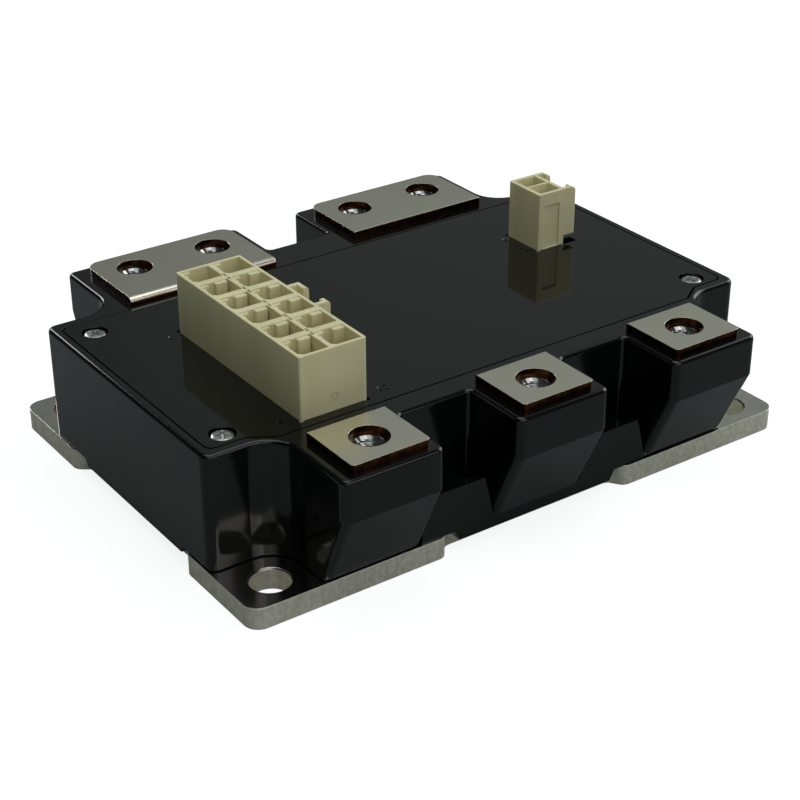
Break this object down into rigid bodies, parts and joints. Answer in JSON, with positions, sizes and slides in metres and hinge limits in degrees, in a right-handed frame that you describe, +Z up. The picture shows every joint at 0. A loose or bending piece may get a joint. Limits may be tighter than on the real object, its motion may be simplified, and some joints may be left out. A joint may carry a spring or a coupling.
{
  "type": "power transistor module",
  "caption": "Flat power transistor module: black case on a metal base plate, screw terminals along two sides and keyed sockets on the lid.",
  "frame": {"origin": "centre of the base plate's underside", "axes": "+X along the long side towards the small socket, +Y towards the supply terminals, +Z up from the base plate"},
  "size_m": [0.123, 0.1015, 0.0397],
  "materials": {
    "base_metal": "matt nickel plate on copper",
    "frame_plastic": "semi-gloss black moulding",
    "lid_plastic": "glossy black moulding",
    "screw_steel": "bright zinc plate",
    "terminal_metal": "warm grey nickel plate on copper",
    "nut_steel": "nickel-plated steel",
    "connector_nylon": "ivory nylon moulding",
    "pin_metal": "tin plate on copper alloy",
    "board_laminate": "green solder mask on glass-fibre laminate",
    "substrate_ceramic": "copper-clad white ceramic",
    "silicon": "metallised silicon",
    "ribbon_aluminium": "bright drawn aluminium",
    "sensor_body": "dark fired ceramic",
    "sealant": "grey cured silicone"
  },
  "bodies": {
    "root": {"base_plate": "base_metal", "board_leads": "pin_metal", "case_frame": "frame_plastic", "diode_high_u": "silicon", "diode_high_v": "silicon", "diode_high_w": "silicon", "diode_low_u": "silicon", "diode_low_v": "silicon", "diode_low_w": "silicon", "gate_board": "board_laminate", "gate_connector_housing": "connector_nylon", "gate_connector_pins": "pin_metal", "igbt_high_u": "silicon", "igbt_high_v": "silicon", "igbt_high_w": "silicon", "igbt_low_u": "silicon", "igbt_low_v": "silicon", "igbt_low_w": "silicon", "lid": "lid_plastic", "lid_screws": "screw_steel", "ribbons_u": "ribbon_aluminium", "ribbons_v": "ribbon_aluminium", "ribbons_w": "ribbon_aluminium", "seal_bead": "sealant", "sense_connector_housing": "connector_nylon", "sense_connector_pins": "pin_metal", "substrate_u": "substrate_ceramic", "substrate_v": "substrate_ceramic", "substrate_w": "substrate_ceramic", "terminal_n": "terminal_metal", "terminal_nuts": "nut_steel", "terminal_p": "terminal_metal", "terminal_u": "terminal_metal", "terminal_v": "terminal_metal", "terminal_w": "terminal_metal", "thermistor": "sensor_body"}
  },
  "joints": []
}
